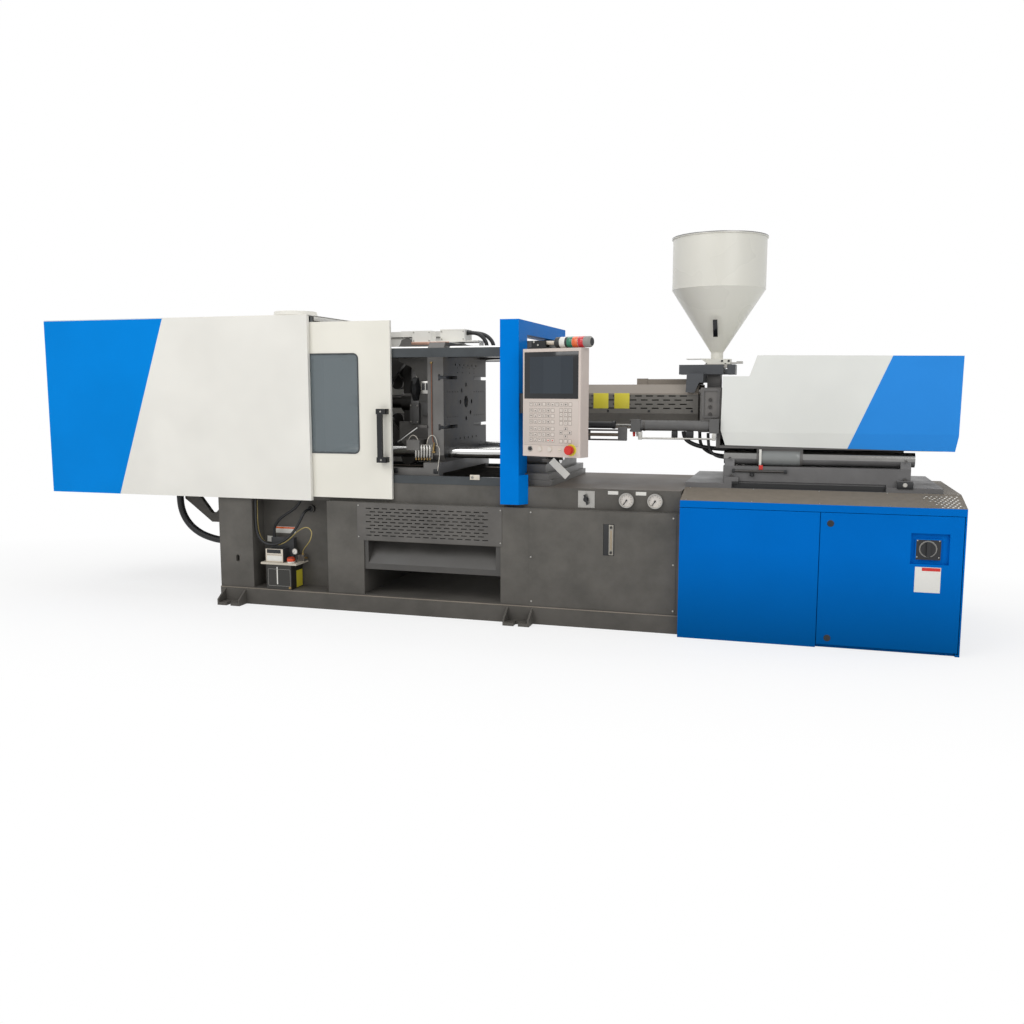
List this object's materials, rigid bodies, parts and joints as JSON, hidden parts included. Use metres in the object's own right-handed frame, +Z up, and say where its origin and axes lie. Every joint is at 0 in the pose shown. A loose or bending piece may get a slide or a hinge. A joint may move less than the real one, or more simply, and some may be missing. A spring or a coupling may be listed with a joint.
{
  "type": "injection moulding machine",
  "caption": "Horizontal toggle-clamp injection moulding machine with sliding guards, reciprocating screw unit, hopper, control panel and electrical cabinet.",
  "frame": {"origin": "on the floor under the middle of the whole machine", "axes": "+X from the clamp end to the injection end, +Y away from the operator, +Z up"},
  "size_m": [6, 1.6361, 2.39],
  "materials": {
    "base_paint": "satin",
    "band_paint": "satin",
    "platen_paint": "satin",
    "cover_white": "satin",
    "unit_white": "satin",
    "blue_paint": "satin",
    "rail_paint": "satin",
    "panel_beige": "satin",
    "link_steel": "machined",
    "bright_steel": "ground",
    "galvanised": "satin",
    "smoke_window": "clear",
    "black_rubber": "matt",
    "clear_tube": "satin",
    "dark_plastic": "satin",
    "red_plastic": "gloss",
    "light_plastic": "satin"
  },
  "bodies": {
    "base": {"base_frame": "base_paint", "vent_panel": "base_paint", "drop_chute": "base_paint", "fixed_platen": "platen_paint", "tie_bars": "bright_steel", "front_cover": "cover_white", "rear_cover": "cover_white", "roof_cover": "cover_white", "door_rail": "rail_paint", "column_cover": "blue_paint", "injection_bed": "platen_paint", "cabinet_shell": "blue_paint", "lube_tank": "light_plastic", "lube_pump": "dark_plastic", "panel_arm": "platen_paint", "left_hose": "black_rubber", "pump_cable": "black_rubber", "pump_lead": "black_rubber", "pump_tube": "clear_tube"},
    "tail": {"tail_platen": "platen_paint", "die_height_nuts": "link_steel", "clamp_cylinder": "platen_paint"},
    "upper_rear_link": {"upper_rear_link": "link_steel"},
    "upper_front_link": {"upper_front_link": "link_steel"},
    "lower_rear_link": {"lower_rear_link": "link_steel"},
    "lower_front_link": {"lower_front_link": "link_steel"},
    "upper_crosshead_link": {"upper_crosshead_link": "link_steel"},
    "lower_crosshead_link": {"lower_crosshead_link": "link_steel"},
    "crosshead": {"crosshead": "link_steel"},
    "moving_platen": {"moving_platen": "platen_paint", "junction_box": "cover_white", "box_hose": "black_rubber"},
    "ejector": {"ejector_plate": "link_steel"},
    "front_door": {"front_door": "cover_white", "door_window": "smoke_window"},
    "rear_door": {"rear_door": "cover_white"},
    "carriage": {"carriage": "platen_paint", "barrel": "bright_steel", "barrel_cover": "platen_paint", "carriage_cylinders": "link_steel", "injection_cover": "unit_white", "hopper_base": "bright_steel", "injection_hose": "black_rubber"},
    "injection_plate": {"injection_plate": "platen_paint"},
    "screw": {"screw": "bright_steel"},
    "hopper": {"hopper": "cover_white"},
    "hopper_gate": {"hopper_gate": "bright_steel"},
    "panel": {"panel_housing": "panel_beige"},
    "e_stop": {"e_stop": "red_plastic"},
    "push_button_left": {"push_button_left": "light_plastic"},
    "push_button_right": {"push_button_right": "light_plastic"},
    "key_switch": {"key_switch": "dark_plastic"},
    "signal_light": {"signal_light": "light_plastic"},
    "cabinet_door": {"cabinet_door": "blue_paint"},
    "lock_upper": {"lock_upper": "dark_plastic"},
    "lock_lower": {"lock_lower": "dark_plastic"},
    "breaker_handle": {"breaker_handle": "dark_plastic"},
    "needle_left": {"needle_left": "dark_plastic"},
    "needle_right": {"needle_right": "dark_plastic"},
    "selector_knob": {"selector_knob": "dark_plastic"}
  },
  "joints": [
    {"name": "die_height", "type": "slide", "parent": "base", "child": "tail", "axis": [1, 0, 0], "range_m": [-0.25, 0.04]},
    {"name": "toggle", "type": "hinge", "parent": "tail", "child": "upper_rear_link", "pos_m": [-0.83167, 0.068, 1.745], "axis": [0, 1, 0], "range_deg": [-49, 21.6]},
    {"name": "upper_knee", "type": "hinge", "parent": "upper_rear_link", "child": "upper_front_link", "pos_m": [-0.62684, 0.068, 1.49915], "axis": [0, 1, 0], "range_deg": [-43.2, 98]},
    {"name": "lower_toggle", "type": "hinge", "parent": "tail", "child": "lower_rear_link", "pos_m": [-0.83167, 0.068, 0.995], "axis": [0, 1, 0], "range_deg": [-21.6, 49]},
    {"name": "lower_knee", "type": "hinge", "parent": "lower_rear_link", "child": "lower_front_link", "pos_m": [-0.62684, 0.068, 1.24085], "axis": [0, 1, 0], "range_deg": [-98, 43.2]},
    {"name": "upper_arm", "type": "hinge", "parent": "upper_rear_link", "child": "upper_crosshead_link", "pos_m": [-0.66363, 0.068, 1.603], "axis": [0, 1, 0], "range_deg": [-43.2, 98]},
    {"name": "lower_arm", "type": "hinge", "parent": "lower_rear_link", "child": "lower_crosshead_link", "pos_m": [-0.66363, 0.068, 1.137], "axis": [0, 1, 0], "range_deg": [-98, 43.2]},
    {"name": "crosshead_pivot", "type": "hinge", "parent": "upper_crosshead_link", "child": "crosshead", "pos_m": [-0.4956, 0.068, 1.745], "axis": [0, 1, 0], "range_deg": [-49, 21.6]},
    {"name": "platen_pivot", "type": "hinge", "parent": "upper_front_link", "child": "moving_platen", "pos_m": [-0.422, 0.068, 1.745], "axis": [0, 1, 0], "range_deg": [-49, 21.6]},
    {"name": "ejector_stroke", "type": "slide", "parent": "moving_platen", "child": "ejector", "axis": [1, 0, 0], "range_m": [0, 0.075]},
    {"name": "front_door_slide", "type": "slide", "parent": "base", "child": "front_door", "axis": [1, 0, 0], "range_m": [-0.47, 0.73]},
    {"name": "rear_door_slide", "type": "slide", "parent": "base", "child": "rear_door", "axis": [1, 0, 0], "range_m": [-0.47, 0.73]},
    {"name": "carriage_slide", "type": "slide", "parent": "base", "child": "carriage", "axis": [1, 0, 0], "range_m": [-0.02, 0.3]},
    {"name": "injection_stroke", "type": "slide", "parent": "carriage", "child": "injection_plate", "axis": [1, 0, 0], "range_m": [0, 0.25]},
    {"name": "screw_turn", "type": "hinge", "parent": "injection_plate", "child": "screw", "pos_m": [1.6, 0.068, 1.37], "axis": [1, 0, 0], "continuous": true},
    {"name": "hopper_slide", "type": "slide", "parent": "carriage", "child": "hopper", "axis": [1, 0, 0], "range_m": [-0.132, 0]},
    {"name": "gate_slide", "type": "slide", "parent": "hopper", "child": "hopper_gate", "axis": [1, 0, 0], "range_m": [0, 0.08]},
    {"name": "panel_swivel", "type": "hinge", "parent": "base", "child": "panel", "pos_m": [0.763, -0.591, 1.37], "axis": [0, 0, 1], "range_deg": [-8, 100]},
    {"name": "e_stop_press", "type": "slide", "parent": "panel", "child": "e_stop", "axis": [0.309, 0.9511, 0], "range_m": [0, 0.006]},
    {"name": "button_left_press", "type": "slide", "parent": "panel", "child": "push_button_left", "axis": [0.309, 0.9511, 0], "range_m": [0, 0.004], "stiffness_N_per_m": 500},
    {"name": "button_right_press", "type": "slide", "parent": "panel", "child": "push_button_right", "axis": [0.309, 0.9511, 0], "range_m": [0, 0.004], "stiffness_N_per_m": 500},
    {"name": "key_turn", "type": "hinge", "parent": "panel", "child": "key_switch", "pos_m": [0.58374, -0.67996, 1.104], "axis": [0.309, 0.9511, 0], "range_deg": [0, 90]},
    {"name": "light_fold", "type": "hinge", "parent": "panel", "child": "signal_light", "pos_m": [0.66386, -0.65342, 1.724], "axis": [-0.309, -0.9511, 0], "range_deg": [0, 90]},
    {"name": "cabinet_door_hinge", "type": "hinge", "parent": "base", "child": "cabinet_door", "pos_m": [2.982, -0.603, 0.4], "axis": [0, 0, 1], "range_deg": [0, 110]},
    {"name": "lock_upper_turn", "type": "hinge", "parent": "cabinet_door", "child": "lock_upper", "pos_m": [2.303, -0.609, 0.712], "axis": [0, 1, 0], "range_deg": [-90, 0]},
    {"name": "lock_lower_turn", "type": "hinge", "parent": "cabinet_door", "child": "lock_lower", "pos_m": [2.309, -0.609, 0.058], "axis": [0, 1, 0], "range_deg": [-90, 0]},
    {"name": "breaker_turn", "type": "hinge", "parent": "cabinet_door", "child": "breaker_handle", "pos_m": [2.813, -0.609, 0.59], "axis": [0, 1, 0], "range_deg": [0, 90]},
    {"name": "needle_left_turn", "type": "hinge", "parent": "base", "child": "needle_left", "pos_m": [1.137, -0.518, 0.792], "axis": [0, 1, 0], "range_deg": [0, 270]},
    {"name": "needle_right_turn", "type": "hinge", "parent": "base", "child": "needle_right", "pos_m": [1.309, -0.518, 0.792], "axis": [0, 1, 0], "range_deg": [0, 270]},
    {"name": "selector_turn", "type": "hinge", "parent": "base", "child": "selector_knob", "pos_m": [0.888, -0.512, 0.79], "axis": [0, 1, 0], "range_deg": [-45, 45]}
  ],
  "couplings": [
    {"joint": "upper_knee", "follows": "toggle", "ratio": -2},
    {"joint": "lower_toggle", "follows": "toggle", "ratio": -1},
    {"joint": "lower_knee", "follows": "toggle", "ratio": 2},
    {"joint": "upper_arm", "follows": "toggle", "ratio": -2},
    {"joint": "lower_arm", "follows": "toggle", "ratio": 2},
    {"joint": "crosshead_pivot", "follows": "toggle", "ratio": 1},
    {"joint": "platen_pivot", "follows": "toggle", "ratio": 1}
  ]
}
